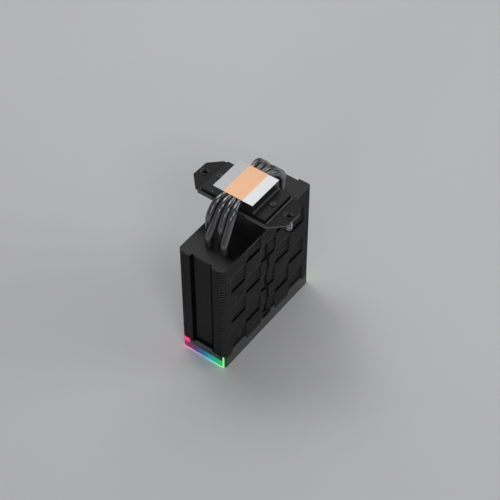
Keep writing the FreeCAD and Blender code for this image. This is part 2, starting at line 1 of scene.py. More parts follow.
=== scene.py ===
import math

import bmesh
import bpy
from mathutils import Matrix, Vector


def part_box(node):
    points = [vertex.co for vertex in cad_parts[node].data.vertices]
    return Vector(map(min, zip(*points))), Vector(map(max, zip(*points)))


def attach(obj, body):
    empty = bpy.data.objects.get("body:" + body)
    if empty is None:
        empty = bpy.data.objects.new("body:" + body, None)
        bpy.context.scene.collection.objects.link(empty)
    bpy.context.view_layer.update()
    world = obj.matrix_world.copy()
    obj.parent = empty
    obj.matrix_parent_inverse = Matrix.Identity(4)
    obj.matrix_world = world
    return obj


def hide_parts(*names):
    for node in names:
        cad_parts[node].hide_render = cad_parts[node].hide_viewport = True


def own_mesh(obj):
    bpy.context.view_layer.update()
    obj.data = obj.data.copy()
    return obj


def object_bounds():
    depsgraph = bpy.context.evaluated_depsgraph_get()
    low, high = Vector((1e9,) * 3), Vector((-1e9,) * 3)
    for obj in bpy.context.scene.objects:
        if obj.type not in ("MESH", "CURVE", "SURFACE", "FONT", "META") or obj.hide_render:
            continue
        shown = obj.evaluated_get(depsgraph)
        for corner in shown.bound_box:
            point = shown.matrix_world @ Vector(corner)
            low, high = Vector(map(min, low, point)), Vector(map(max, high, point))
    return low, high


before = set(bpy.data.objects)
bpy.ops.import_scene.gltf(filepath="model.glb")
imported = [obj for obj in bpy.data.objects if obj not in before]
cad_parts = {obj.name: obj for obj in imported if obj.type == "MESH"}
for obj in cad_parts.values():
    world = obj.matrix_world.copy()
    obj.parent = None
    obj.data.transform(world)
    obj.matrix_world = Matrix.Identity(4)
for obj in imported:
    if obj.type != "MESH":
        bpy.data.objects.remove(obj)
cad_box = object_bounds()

# Looks of a black tower cooler that stands upside down on its lit plastic cover.
# Everything is in metres in the CAD frame: z = 0 is the cover's outer face, +Z goes up to the
# milled contact face, X runs along the wide faces and Y through the depth.

MM = 0.001
SHARP_ANGLE = math.radians(35.0)    # edges sharper than this are rounded or shaded as creases
FLAT_ANGLE = math.radians(1.0)      # faces that meet at less than this are one face
MERGE_DISTANCE = 0.002 * MM         # vertices nearer than this are one vertex
ROUNDING_STEPS = 2                  # faces across a rounded edge
NOISE_LOW, NOISE_HIGH = 0.3, 0.7    # most of a cloud noise lies between these

# ---------------------------------------------------------------- places read from the frame
TOWER_MIDDLE = (cad_box[0] + cad_box[1]) / 2
BLOCK_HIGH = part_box("base_block")[1]
CONTACT_Z = BLOCK_HIGH.z
PLATE_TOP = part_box("base_plate")[1].z
PLATE_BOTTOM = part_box("base_plate")[0].z
GLOW_HALF_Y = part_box("light_guide_left")[1].y
FIN_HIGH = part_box("top_fin")[1]
FLANGE_X = FIN_HIGH.x - 2.6 * MM            # the folded flanges lie beyond this |x| ...
FLANGE_HALF_Y = FIN_HIGH.y - 5.2 * MM       # ... and within this |y|
BLOCK_FOOT_Y = BLOCK_HIGH.y - 1.3 * MM      # the block's foot lies beyond this |y| ...
BLOCK_FOOT_TOP = PLATE_TOP + 0.8 * MM       # ... and below this height
BEAD_Z = PLATE_BOTTOM + 0.1 * MM            # the bar's raised bead starts here
LIT_LINE_TOP = 1.2 * MM                     # the light guide's bottom line ends here ...
LIT_UPRIGHT_LOW = 2.6 * MM                  # ... and its uprights start here


# ---------------------------------------------------------------- node graph helper
class Graph:
    """A material under construction: short calls for the few node kinds used here."""

    def __init__(self, name):
        self.material = bpy.data.materials.new(name)
        self.material.use_nodes = True
        self.tree = self.material.node_tree
        self.tree.nodes.clear()
        output = self.tree.nodes.new("ShaderNodeOutputMaterial")
        self.shader = self.tree.nodes.new("ShaderNodeBsdfPrincipled")
        self.tree.links.new(self.shader.outputs["BSDF"], output.inputs["Surface"])
        self.place = self.tree.nodes.new("ShaderNodeTexCoord").outputs["Object"]

    def link(self, value, socket):
        """A number or colour is set on the socket, anything else is linked to it."""
        if isinstance(value, bpy.types.NodeSocket):
            self.tree.links.new(value, socket)
        elif isinstance(value, tuple) and len(value) == 3 and len(socket.default_value) == 4:
            socket.default_value = value + (1.0,)
        else:
            socket.default_value = value

    def set(self, **values):
        """Sets or links the shader's sockets, named with underscores."""
        for name, value in values.items():
            self.link(value, self.shader.inputs[name.replace("_", " ")])
        return self

    def maths(self, operation, a, b=0.0, c=0.0):
        """Result of one operation on up to three numbers."""
        node = self.tree.nodes.new("ShaderNodeMath")
        node.operation = operation
        for value, socket in zip((a, b, c), node.inputs):
            self.link(value, socket)
        return node.outputs[0]

    def stretched(self, scale):
        """Object coordinates scaled along each axis: a pattern is drawn out where it is small."""
        node = self.tree.nodes.new("ShaderNodeMapping")
        self.link(self.place, node.inputs["Vector"])
        node.inputs["Scale"].default_value = scale
        return node.outputs[0]

    def noise(self, per_metre, detail=3.0, vector=None):
        """Cloud noise with this many clouds to the metre."""
        node = self.tree.nodes.new("ShaderNodeTexNoise")
        self.link(vector or self.place, node.inputs["Vector"])
        node.inputs["Scale"].default_value = per_metre
        node.inputs["Detail"].default_value = detail
        return node.outputs["Fac"]

    def cell_edges(self, per_metre):
        """Distance from the borders of an irregular cell pattern."""
        node = self.tree.nodes.new("ShaderNodeTexVoronoi")
        node.feature = "DISTANCE_TO_EDGE"
        self.link(self.place, node.inputs["Vector"])
        node.inputs["Scale"].default_value = per_metre
        return node.outputs["Distance"]

    def between(self, value, low, high, start=0.0, end=1.0):
        """Straight-line remap of low..high to start..end, clamped."""
        node = self.tree.nodes.new("ShaderNodeMapRange")
        self.link(value, node.inputs["Value"])
        for name, number in (("From Min", low), ("From Max", high), ("To Min", start), ("To Max", end)):
            self.link(number, node.inputs[name])
        return node.outputs["Result"]

    def spread(self, noise, start, end):
        """Remaps the usual range of a noise to start..end."""
        return self.between(noise, NOISE_LOW, NOISE_HIGH, start, end)

    def mix(self, share, first, second):
        """Colour mix."""
        node = self.tree.nodes.new("ShaderNodeMix")
        node.data_type = "RGBA"
        colour_sockets = [s for s in node.inputs if s.type == "RGBA"]
        self.link(share, node.inputs["Factor"])
        self.link(first, colour_sockets[0])
        self.link(second, colour_sockets[1])
        return [s for s in node.outputs if s.type == "RGBA"][0]

    def ramp(self, share, stops):
        """Colour ramp through (position, colour) stops."""
        node = self.tree.nodes.new("ShaderNodeValToRGB")
        elements = node.color_ramp.elements
        while len(elements) < len(stops):
            elements.new(0.5)
        for element, (position, colour) in zip(elements, stops):
            element.position = position
            element.color = colour + (1.0,)
        self.link(share, node.inputs["Fac"])
        return node.outputs["Color"]

    def axis(self, letter, source=None):
        """One component of the object coordinates, or of another vector."""
        node = self.tree.nodes.new("ShaderNodeSeparateXYZ")
        self.link(source or self.place, node.inputs["Vector"])
        return node.outputs[letter]

    def off_axis(self, letter):
        """Distance from the middle plane across one axis."""
        return self.maths("ABSOLUTE", self.axis(letter))

    def upright(self, level, steep):
        """0 where |normal z| is above level, 1 where it is below steep."""
        normal = self.tree.nodes.new("ShaderNodeTexCoord").outputs["Normal"]
        return self.between(self.maths("ABSOLUTE", self.axis("Z", normal)), level, steep)

    def bump(self, height, depth, strength):
        """Fine relief that is this deep."""
        node = self.tree.nodes.new("ShaderNodeBump")
        node.inputs["Strength"].default_value = strength
        node.inputs["Distance"].default_value = depth
        self.link(height, node.inputs["Height"])
        self.link(node.outputs["Normal"], self.shader.inputs["Normal"])
        return self


# ---------------------------------------------------------------- materials
def fin_coat(name, specular):
    """Thin satin black coat with the sheet's rolling grain along Y; the cut edges are painted greyer,
    partly a thinner coat and partly a painted highlight of their glints.
    """
    g = Graph(name)
    cloud = g.noise(60.0, 4.0)
    grain = g.noise(9000.0, 2.0, g.stretched((1.0, 0.12, 1.0)))
    # Painted highlight: upright faces outside the narrow end's flanges get the lighter edge colour,
    # standing in for glints along the fins' rims.
    upright = g.upright(0.8, 0.5)
    at_end = g.between(g.off_axis("X"), FLANGE_X - 0.2 * MM, FLANGE_X)
    amid = g.between(g.off_axis("Y"), FLANGE_HALF_Y + 0.2 * MM, FLANGE_HALF_Y)
    outside_flanges = g.maths("SUBTRACT", 1.0, g.maths("MULTIPLY", at_end, amid))
    sheet = g.mix(cloud, (0.005, 0.005, 0.0055), (0.010, 0.010, 0.011))
    edge = g.mix(g.noise(2500.0), (0.15, 0.15, 0.155), (0.21, 0.21, 0.215))
    colour = g.mix(g.maths("MULTIPLY", upright, outside_flanges), sheet, edge)
    rough = g.between(g.maths("MULTIPLY_ADD", grain, 0.4, cloud), 0.3, 1.0, 0.24, 0.36)
    g.set(Base_Color=colour, Roughness=rough, Specular_IOR_Level=specular)
    return g.bump(grain, 0.004 * MM, 0.4).material


def milling(g):
    """Mask of the milled contact face, and the cutter's fine lines along X."""
    milled = g.between(g.axis("Z"), CONTACT_Z - 0.06 * MM, CONTACT_Z - 0.03 * MM)
    return milled, g.noise(2600.0, 3.0, g.stretched((0.015, 1.0, 1.0)))


def pipe_finish():
    """Black nickel over copper; the run through the base is milled to bare copper."""
    g = Graph("pipe_finish")
    milled, lines = milling(g)
    warmth = g.noise(140.0)
    copper = g.mix(lines, g.mix(warmth, (0.82, 0.44, 0.25), (0.88, 0.52, 0.31)), (0.92, 0.58, 0.37))
    cloud = g.noise(70.0, 2.0)
    nickel = g.mix(cloud, (0.175, 0.175, 0.18), (0.215, 0.215, 0.22))
    rough = g.maths("MULTIPLY_ADD", milled, 0.10, g.spread(cloud, 0.22, 0.26))
    g.set(Base_Color=g.mix(milled, nickel, copper), Roughness=rough,
          Metallic=g.maths("MULTIPLY_ADD", milled, 0.2, 0.8))
    return g.bump(g.maths("MULTIPLY", lines, milled), 0.004 * MM, 0.3).material


def block_finish():
    """Aluminium block: black coated sides, a painted highlight in lighter grey on the foot, and a
    milled contact face.

    The milled strip on the +Y side is painted a darker grey than the one on the -Y side, as painted
    shade of the light falling off across the face.
    """
    g = Graph("block_finish")
    milled, lines = milling(g)
    # Painted shade: the +Y milled strip is painted darker than the -Y one, standing in for the light
    # falling off across the contact face.
    side = g.between(g.axis("Y"), -1.0 * MM, 1.0 * MM)
    bright = g.mix(side, g.mix(lines, (0.76, 0.77, 0.78), (0.84, 0.84, 0.85)),
                   g.mix(lines, (0.47, 0.48, 0.49), (0.54, 0.54, 0.55)))
    coat = g.mix(g.noise(300.0), (0.010, 0.010, 0.011), (0.018, 0.018, 0.019))
    # Painted highlight: the foot's narrow top and sides beyond the block are painted a lighter grey,
    # standing in for the bright line along its lower step.
    low = g.between(g.axis("Z"), BLOCK_FOOT_TOP + 0.2 * MM, BLOCK_FOOT_TOP)
    outside = g.between(g.off_axis("Y"), BLOCK_FOOT_Y - 0.1 * MM, BLOCK_FOOT_Y + 0.1 * MM)
    coat = g.mix(g.maths("MULTIPLY", low, outside), coat, (0.13, 0.13, 0.135))
    g.set(Base_Color=g.mix(milled, coat, bright), Metallic=milled,
          Roughness=g.between(milled, 0.0, 1.0, 0.38, 0.34))
    return g.bump(lines, 0.004 * MM, 0.3).material


def coated(name, dark, light, roughness, grain_size, grain_depth, specular=0.5, edge=None,
           bead_z=None):
    """Powder or oxide coat with a fine grain and slight cloudiness; where edge is given, upright faces
    are painted that lighter colour as a painted highlight.

    A raised bead that starts at bead_z gets the same painted highlight as the upright faces.
    """
    g = Graph(name)
    grain = g.noise(1.0 / grain_size)
    cloud = g.noise(90.0, 4.0)
    colour = g.mix(cloud, dark, light)
    if edge:
        # Painted highlight: upright faces, and the bead above bead_z, are painted the lighter edge
        # colour, broken up by the grain.
        upright = g.upright(0.85, 0.4)
        if bead_z:
            upright = g.maths("MAXIMUM", upright, g.between(g.axis("Z"), bead_z, bead_z + 0.2 * MM))
        highlight_share = g.between(grain, 0.25, 0.6, 0.6, 1.0)
        colour = g.mix(g.maths("MULTIPLY", upright, highlight_share), colour, edge)
    g.set(Base_Color=colour, Specular_IOR_Level=specular,
          Roughness=g.spread(grain, roughness - 0.05, roughness + 0.06))
    return g.bump(grain, grain_depth, 0.5).material


def plated(name, dark, light, roughness, stretch):
    """Plated or turned steel, whose fine lines run along the axes where stretch is small."""
    g = Graph(name)
    lines = g.noise(5200.0, 3.0, g.stretched(stretch))
    smudge = g.noise(420.0, 4.0)
    g.set(Base_Color=g.mix(lines, dark, light), Metallic=1.0,
          Roughness=g.spread(smudge, roughness - 0.06, roughness + 0.08))
    return g.bump(lines, 0.003 * MM, 0.3).material


# Glow colours along the lit end of the cover, from -Y (0) to +Y (1).
DIFFUSER_STOPS = (
    (0.00, (0.10, 0.90, 0.22)),
    (0.14, (0.02, 0.80, 0.34)),
    (0.34, (0.00, 0.56, 0.60)),
    (0.50, (0.00, 0.24, 0.50)),
    (0.68, (0.10, 0.08, 0.30)),
    (0.84, (0.34, 0.02, 0.15)),
    (1.00, (0.62, 0.04, 0.18)),
)
LINE_STOPS = (
    (0.00, (0.42, 1.00, 0.34)),
    (0.14, (0.30, 0.95, 0.55)),
    (0.34, (0.18, 0.72, 0.80)),
    (0.50, (0.22, 0.42, 0.72)),
    (0.68, (0.42, 0.32, 0.62)),
    (0.84, (0.82, 0.34, 0.54)),
    (1.00, (0.95, 0.30, 0.48)),
)
UPRIGHT_STOPS = (
    (0.00, (0.30, 1.00, 0.26)),
    (0.40, (0.30, 1.00, 0.26)),
    (0.60, (0.88, 0.04, 0.22)),
    (1.00, (0.95, 0.06, 0.26)),
)


def frosted(g, glow, strength):
    """Frosted plastic lit from behind."""
    frost = g.noise(1500.0)
    g.set(Base_Color=(0.03, 0.03, 0.035), Roughness=0.45, Specular_IOR_Level=0.3,
          Emission_Color=glow, Emission_Strength=g.spread(frost, strength * 0.85, strength * 1.1))
    return g.bump(frost, 0.01 * MM, 0.3).material


def diffuser_glow():
    """Hue runs from green at -Y to pink at +Y."""
    g = Graph("diffuser_glow")
    along = g.between(g.axis("Y"), -GLOW_HALF_Y, GLOW_HALF_Y)
    return frosted(g, g.ramp(along, DIFFUSER_STOPS), 0.5)


def light_guide_glow():
    """Pale line along the bottom edge, stronger hues in the uprights and the tongue."""
    g = Graph("light_guide_glow")
    along = g.between(g.axis("Y"), -GLOW_HALF_Y, GLOW_HALF_Y)
    raised = g.between(g.axis("Z"), LIT_LINE_TOP, LIT_UPRIGHT_LOW)
    return frosted(g, g.mix(raised, g.ramp(along, LINE_STOPS), g.ramp(along, UPRIGHT_STOPS)), 0.9)


def board_mask():
    """Black solder mask with faint copper traces below it."""
    g = Graph("solder_mask")
    trace = g.between(g.cell_edges(700.0), 0.02, 0.05)
    g.set(Base_Color=g.mix(trace, (0.05, 0.045, 0.03), (0.012, 0.013, 0.012)), Roughness=0.35)
    return g.bump(trace, 0.02 * MM, 0.4).material


def led_package():
    """White package with a pale yellow lens."""
    g = Graph("led_package")
    speckle = g.noise(4000.0)
    g.set(Base_Color=g.mix(speckle, (0.85, 0.83, 0.70), (0.95, 0.94, 0.88)), Roughness=0.3,
          Coat_Weight=0.5, Emission_Color=(1.0, 0.95, 0.9), Emission_Strength=0.6)
    return g.material


# One material for each slot of the record.
MATERIALS = {
    "fins": fin_coat("fin_coat", specular=0.1),
    "heat_pipe": pipe_finish(),
    "base_block": block_finish(),
    "base_plate": coated("die_cast_coat", (0.008, 0.008, 0.0085), (0.014, 0.014, 0.015),
                         roughness=0.42, grain_size=0.25 * MM, grain_depth=0.01 * MM, specular=0.3),
    # The bar's upright faces and its bead carry a painted highlight in the edge colour.
    "mounting_bar": coated("bar_coat", (0.011, 0.011, 0.012), (0.019, 0.019, 0.020),
                           roughness=0.45, grain_size=0.2 * MM, grain_depth=0.008 * MM,
                           specular=0.18, edge=(0.15, 0.15, 0.155), bead_z=BEAD_Z),
    "black_screws": coated("black_zinc", (0.045, 0.045, 0.047), (0.075, 0.075, 0.078),
                           roughness=0.32, grain_size=0.12 * MM, grain_depth=0.004 * MM),
    "steel_screws": plated("dark_nickel", (0.010, 0.010, 0.011), (0.024, 0.024, 0.025),
                           roughness=0.34, stretch=(1.0, 1.0, 0.05)),
    "retaining_clips": plated("spring_steel", (0.04, 0.04, 0.042), (0.08, 0.08, 0.083),
                              roughness=0.38, stretch=(1.0, 0.1, 1.0)),
    "washers": plated("nickel_washer", (0.42, 0.42, 0.44), (0.60, 0.60, 0.62),
                      roughness=0.28, stretch=(1.0, 1.0, 0.1)),
    "springs": plated("spring_wire", (0.48, 0.48, 0.50), (0.70, 0.70, 0.72),
                      roughness=0.24, stretch=(0.2, 0.2, 1.0)),
    "cover": coated("cover_plastic", (0.070, 0.070, 0.072), (0.088, 0.088, 0.091),
                    roughness=0.52, grain_size=0.3 * MM, grain_depth=0.02 * MM),
    "light_guide": light_guide_glow(),
    "diffuser": diffuser_glow(),
    "circuit_board": board_mask(),
    "leds": led_package(),
    "board_screws": plated("zinc_screws", (0.32, 0.32, 0.33), (0.46, 0.46, 0.48),
                           roughness=0.32, stretch=(1.0, 1.0, 0.1)),
}
TOP_FIN_COAT = fin_coat("top_fin_coat", specular=0.42)    # the plate next to the base is glossier


def paint_cad_nodes():
    """Every carried-over node takes the procedural material of its record slot."""
    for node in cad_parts.values():
        for material_slot in node.material_slots:
            name = material_slot.material.name.split(".")[0]
            material_slot.material = MATERIALS[name]


# ---------------------------------------------------------------- mesh helpers
def new_object(name, data):
    """Object in the scene for a mesh, light or camera."""
    holder = bpy.data.objects.new(name, data)
    bpy.context.scene.collection.objects.link(holder)
    return holder


def finished(piece, body, slot_name, *replaced):
    """Gives a new piece its body, its record slot and the CAD nodes that it stands for."""
    piece.data.materials.clear()
    piece.data.materials.append(MATERIALS[slot_name])
    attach(piece, body)
    if replaced:
        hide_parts(*replaced)
    return piece


def new_piece(name, builder):
    """Object from a bmesh, shaded smooth except across sharp edges."""
    mesh = bpy.data.meshes.new(name)
    bmesh.ops.recalc_face_normals(builder, faces=builder.faces)
    for face in builder.faces:
        face.smooth = True
    for edge in builder.edges:
        if len(edge.link_faces) == 2 and edge.calc_face_angle(0.0) > SHARP_ANGLE:
            edge.smooth = False
    builder.to_mesh(mesh)
    builder.free()
    return new_object(name, mesh)


def with_modifiers_applied(piece):
    """Swaps the mesh for the evaluated one, so that no modifier is left."""
    bpy.context.view_layer.update()
    evaluated = piece.evaluated_get(bpy.context.evaluated_depsgraph_get())
    mesh = bpy.data.meshes.new_from_object(evaluated)
    piece.modifiers.clear()
    piece.data = mesh
    return piece


def softened(node_name, width, stays_sharp=lambda edge: False):
    """Copy of a CAD node with its sharp edges rounded, except those that stays_sharp names."""
    builder = bmesh.new()
    builder.from_mesh(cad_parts[node_name].data)
    bmesh.ops.remove_doubles(builder, verts=builder.verts, dist=MERGE_DISTANCE)
    bmesh.ops.dissolve_limit(builder, angle_limit=FLAT_ANGLE, verts=builder.verts,
                             edges=builder.edges)
    sharp = [edge for edge in builder.edges if len(edge.link_faces) == 2
             and edge.calc_face_angle(0.0) > SHARP_ANGLE and not stays_sharp(edge)]
    bmesh.ops.bevel(builder, geom=sharp, offset=width, offset_type="OFFSET",
                    segments=ROUNDING_STEPS, profile=0.5, affect="EDGES", clamp_overlap=True)
    piece = new_piece(node_name + "_soft", builder)
    modifier = piece.modifiers.new("flat_faces", "WEIGHTED_NORMAL")
    modifier.keep_sharp = True
    return with_modifiers_applied(piece)


def round_point(centre, radius, angle, height):
    """Point at this radius and angle about an upright axis."""
    return centre.x + radius * math.cos(angle), centre.y + radius * math.sin(angle), height


def turned(name, profile, centre, segments, radius_at=None):
    """Solid of revolution about Z from (radius, height) points; radius_at can add knurling."""
    builder = bmesh.new()
    rings = []
    for radius, height in profile:
        if radius == 0.0:
            rings.append([builder.verts.new((centre.x, centre.y, height))])
            continue
        ring = []
        for step in range(segments):
            angle = 2 * math.pi * step / segments
            r = radius_at(radius, angle) if radius_at else radius
            ring.append(builder.verts.new(round_point(centre, r, angle, height)))
        rings.append(ring)
    for below, above in zip(rings, rings[1:]):
        for step in range(segments):
            after = (step + 1) % segments
            if len(below) == 1:
                builder.faces.new((below[0], above[step], above[after]))
            elif len(above) == 1:
                builder.faces.new((below[step], below[after], above[0]))
            else:
                builder.faces.new((below[step], below[after], above[after], above[step]))
    return new_piece(name, builder)


def skinned(name, rings):
    """Closed skin over a row of rings of points, capped at both ends."""
    builder = bmesh.new()
    previous = None
    for points in rings:
        ring = [builder.verts.new(point) for point in points]
        if previous:
            for side in range(len(ring)):
                after = (side + 1) % len(ring)
                builder.faces.new((previous[side], previous[after], ring[after], ring[side]))
        else:
            builder.faces.new(ring[::-1])
        previous = ring
    builder.faces.new(previous)
    return new_piece(name, builder)


# ---------------------------------------------------------------- fins with rounded rims
PIPE_NODES = ["heat_pipe_%d" % number for number in range(1, 5)]
FIN_NODES = ["fin_row_%d" % row for row in range(1, 7)] + ["top_fin"]
FIN_ROUNDING = 0.13 * MM
COLLAR_REACH = 4.2 * MM      # hole edges nearer than this to a pipe's middle stay sharp
TIP_SLICE = 0.1 * MM         # height of the pipe's end that shows where its middle is


def pipe_feet():
    """Plan positions of the eight upright legs, from the lowest vertices of the pipes."""
    feet = []
    for name in PIPE_NODES:
        slice_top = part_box(name)[0].z + TIP_SLICE
        tips = [v.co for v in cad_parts[name].data.vertices if v.co.z < slice_top]
        for side in (-1, 1):
            group = [co for co in tips if co.x * side > 0]
            feet.append(Vector((sum(co.x for co in group), sum(co.y for co in group))) / len(group))
    return feet


def build_fins():
    """Stamped plates with rounded rims; the last one has its own coat."""
    feet = pipe_feet()

    def near_a_pipe(edge):
        """True for the edges of the pipe holes and their collars."""
        middle = (edge.verts[0].co + edge.verts[1].co) / 2
        return any((middle.xy - foot).length < COLLAR_REACH for foot in feet)

    for name in FIN_NODES:
        fins = finished(softened(name, FIN_ROUNDING, near_a_pipe), "cooler", "fins", name)
    fins.data.materials[0] = TOP_FIN_COAT


# ---------------------------------------------------------------- base, bar and cover
SHELL_ROUNDING = (
    # node, record slot, width of the rounded edges
    ("base_block", "base_block", 0.12 * MM),
    ("base_plate", "base_plate", 0.35 * MM),
    ("mounting_bar", "mounting_bar", 0.42 * MM),
    ("cover_shell", "cover", 0.22 * MM),
)


def build_shells():
    """Castings, stampings and mouldings whose edges catch the light."""
    for name, slot_name, width in SHELL_ROUNDING:
        finished(softened(name, width), "cooler", slot_name, name)


# ---------------------------------------------------------------- screws
SCREW_HEAD_RADIUS = 3.1 * MM
SHOULDER_RADIUS = 2.08 * MM
COLLAR_RADIUS = SHOULDER_RADIUS - 0.1 * MM
COLLAR_HEIGHT = 0.35 * MM
NECK_RADIUS = 1.3 * MM            # bottom of the clip's groove
THREAD_CORE = 1.22 * MM
THREAD_CREST = 1.5 * MM
THREAD_PITCH = 0.4 * MM
THREAD_STEPS = 36                 # to a turn
THREAD_RUNOUT = 9                 # steps over which the ridge fades in and out
THREAD_ROOT = THREAD_CORE - 0.05 * MM    # sunk into the core, so no gap shows
KNURL_RIDGES = 36
KNURL_DEPTH = 0.07 * MM
KNURL_FROM = 2.9 * MM             # only the rim beyond this radius is knurled
SPRING_SCREW_RECESS = (1.5 * MM, 1.7 * MM)     # depth and half span of the cross
RECESS_OUTSIDE = 0.3              # the cutter starts this share of its depth outside the head
RECESS_MOUTH = 1.15               # share of the half span at the outer end ...
RECESS_BOTTOM = 0.35              # ... and at the inner end
RECESS_ARM = 0.30                 # half width of an arm over the half span
PAN_HEAD_RADIUS = 2.7 * MM
PAN_DOME_HEIGHT = 0.75 * MM
PAN_SHANK_RADIUS = 1.4 * MM
PAN_RECESS = (1.0 * MM, 1.55 * MM)
PAN_SEGMENTS = 64
SEAT_GAP = 0.02 * MM              # keeps touching faces apart


def cross_cutter(centre, mouth_z, inwards, depth, half_span):
    """Tapered cross that cuts a driver recess from mouth_z; inwards is 1 for up, -1 for down.

    The arms' width tapers half as much as their length.
    """
    builder = bmesh.new()
    ends = ((mouth_z - RECESS_OUTSIDE * depth * inwards, RECESS_MOUTH),
            (mouth_z + depth * inwards, RECESS_BOTTOM))
    for lengthwise in (True, False):
        corners = []
        for z, share in ends:
            long, wide = half_span * share, half_span * RECESS_ARM * (0.5 + 0.5 * share)
            for sx, sy in ((-1, -1), (1, -1), (1, 1), (-1, 1)):
                x, y = (sx * long, sy * wide) if lengthwise else (-sy * wide, sx * long)
                corners.append(builder.verts.new((centre.x + x, centre.y + y, z)))
        outer, inner = corners[:4], corners[4:]
        builder.faces.new(outer[::-1])
        builder.faces.new(inner)
        for step in range(4):
            after = (step + 1) % 4
            builder.faces.new((outer[step], outer[after], inner[after], inner[step]))
    return new_piece("recess_cutter", builder)


def with_recess(piece, cutter):
    """Cuts one closed mesh out of another and removes the cutter."""
    modifier = piece.modifiers.new("recess", "BOOLEAN")
    modifier.operation = "DIFFERENCE"
    modifier.solver = "EXACT"
    modifier.use_self = True
    modifier.object = cutter
    with_modifiers_applied(piece)
    bpy.data.objects.remove(cutter)
    return piece


def thread_ridge(name, centre, low, high):
    """Helical thread ridge with a blunt triangular section."""
    steps = int((high - low - THREAD_PITCH) / THREAD_PITCH * THREAD_STEPS)
    rings = []
    for step in range(steps + 1):
        angle = 2 * math.pi * step / THREAD_STEPS
        z = low + THREAD_PITCH * step / THREAD_STEPS
        fade = min(1.0, step / THREAD_RUNOUT, (steps - step) / THREAD_RUNOUT)
        tip = THREAD_CORE + (THREAD_CREST - THREAD_CORE) * fade
        section = ((THREAD_ROOT, 0.0), (tip, 0.42), (tip, 0.5), (THREAD_ROOT, 0.92))
        rings.append([round_point(centre, radius, angle, z + THREAD_PITCH * rise)
                      for radius, rise in section])
    return skinned(name, rings)


def knurled_radius(radius, angle):
    """Straight knurling on the rim of the spring screw's head."""
    if radius <= KNURL_FROM:
        return radius
    return radius - KNURL_DEPTH * (0.5 - 0.5 * math.cos(KNURL_RIDGES * angle))


def build_spring_screw(side_name):
    """Knurled head with a cross recess, smooth shoulder, clip groove and threaded end."""
    node = "spring_screw_" + side_name
    body = "screw_" + side_name
    low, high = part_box(node)
    clip_low, clip_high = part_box("retaining_clip_" + side_name)
    washer_low, washer_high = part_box("spring_washer_" + side_name)
    centre = (washer_low + washer_high) / 2
    head_top = washer_low.z - SEAT_GAP
    groove_top = clip_high.z + 0.05 * MM
    collar_top = groove_top + COLLAR_HEIGHT
    head = [(0.0, low.z), (SCREW_HEAD_RADIUS - 0.6 * MM, low.z),
            (SCREW_HEAD_RADIUS - 0.25 * MM, low.z + 0.15 * MM),
            (SCREW_HEAD_RADIUS - 0.05 * MM, low.z + 0.5 * MM),
            (SCREW_HEAD_RADIUS, low.z + 0.7 * MM),
            (SCREW_HEAD_RADIUS, head_top - 0.3 * MM), (SCREW_HEAD_RADIUS - 0.2 * MM, head_top)]
    shoulder = [(SHOULDER_RADIUS, head_top), (SHOULDER_RADIUS, clip_low.z)]
    groove = [(NECK_RADIUS, clip_low.z), (NECK_RADIUS, groove_top)]
    collar = [(COLLAR_RADIUS, groove_top), (COLLAR_RADIUS, collar_top - 0.1 * MM),
              (COLLAR_RADIUS - 0.15 * MM, collar_top)]
    threaded_end = [(THREAD_CORE, collar_top), (THREAD_CORE, high.z - 0.25 * MM),
                    (THREAD_CORE - 0.3 * MM, high.z), (0.0, high.z)]
    screw = turned(node + "_body", head + shoulder + groove + collar + threaded_end, centre,
                   4 * KNURL_RIDGES, knurled_radius)
    with_recess(screw, cross_cutter(centre, low.z, 1, *SPRING_SCREW_RECESS))
    finished(screw, body, "steel_screws", node)
    thread = thread_ridge(node + "_thread", centre, collar_top - 0.05 * MM, high.z - 0.1 * MM)
    finished(thread, body, "steel_screws")


def build_fixing_screws():
    """Pan heads with a cross recess on both ends of the base plate."""
    low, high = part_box("bar_fixing_screws")
    seat = PLATE_TOP + SEAT_GAP
    dome_foot = high.z - PAN_DOME_HEIGHT
    dome = []
    for step in range(6):
        angle = math.radians(15 * step)
        dome.append((PAN_HEAD_RADIUS * math.cos(angle), dome_foot + PAN_DOME_HEIGHT * math.sin(angle)))
    shank = [(0.0, low.z), (PAN_SHANK_RADIUS - 0.2 * MM, low.z),
             (PAN_SHANK_RADIUS, low.z + 0.2 * MM), (PAN_SHANK_RADIUS, seat)]
    profile = shank + [(PAN_HEAD_RADIUS - 0.1 * MM, seat)] + dome + [(0.0, high.z)]
    for side, label in ((-1, "front"), (1, "rear")):
        centre = Vector((0.0, side * (high.y - PAN_HEAD_RADIUS), 0.0))
        screw = turned("fixing_screw_" + label, profile, centre, PAN_SEGMENTS)
        with_recess(screw, cross_cutter(centre, high.z, -1, *PAN_RECESS))
        finished(screw, "cooler", "black_screws", "bar_fixing_screws")


# ---------------------------------------------------------------- springs, clips and washers
WIRE_RADIUS = 0.42 * MM
WIRE_STEPS = 12                   # round the wire
COIL_STEPS = 40                   # to a turn
OPEN_TURNS = 5.0
CLOSED_TURNS = 0.8                # at each end
TOTAL_TURNS = OPEN_TURNS + 2 * CLOSED_TURNS
CLOSED_RISE = 1.5 * WIRE_RADIUS * CLOSED_TURNS
GROUND_OFF = 0.12 * MM            # the end coils are ground flat this far inside the node's box
CLIP_ROUNDING = 0.10 * MM
WASHER_ROUNDING = 0.08 * MM


def coil_height(turn, start, end):
    """Height of the wire's middle after this many turns: closed, open and closed coils."""
    if turn < CLOSED_TURNS:
        return start + CLOSED_RISE * turn / CLOSED_TURNS
    if turn > CLOSED_TURNS + OPEN_TURNS:
        return end - CLOSED_RISE * (TOTAL_TURNS - turn) / CLOSED_TURNS
    open_rise = end - start - 2 * CLOSED_RISE
    return start + CLOSED_RISE + open_rise * (turn - CLOSED_TURNS) / OPEN_TURNS


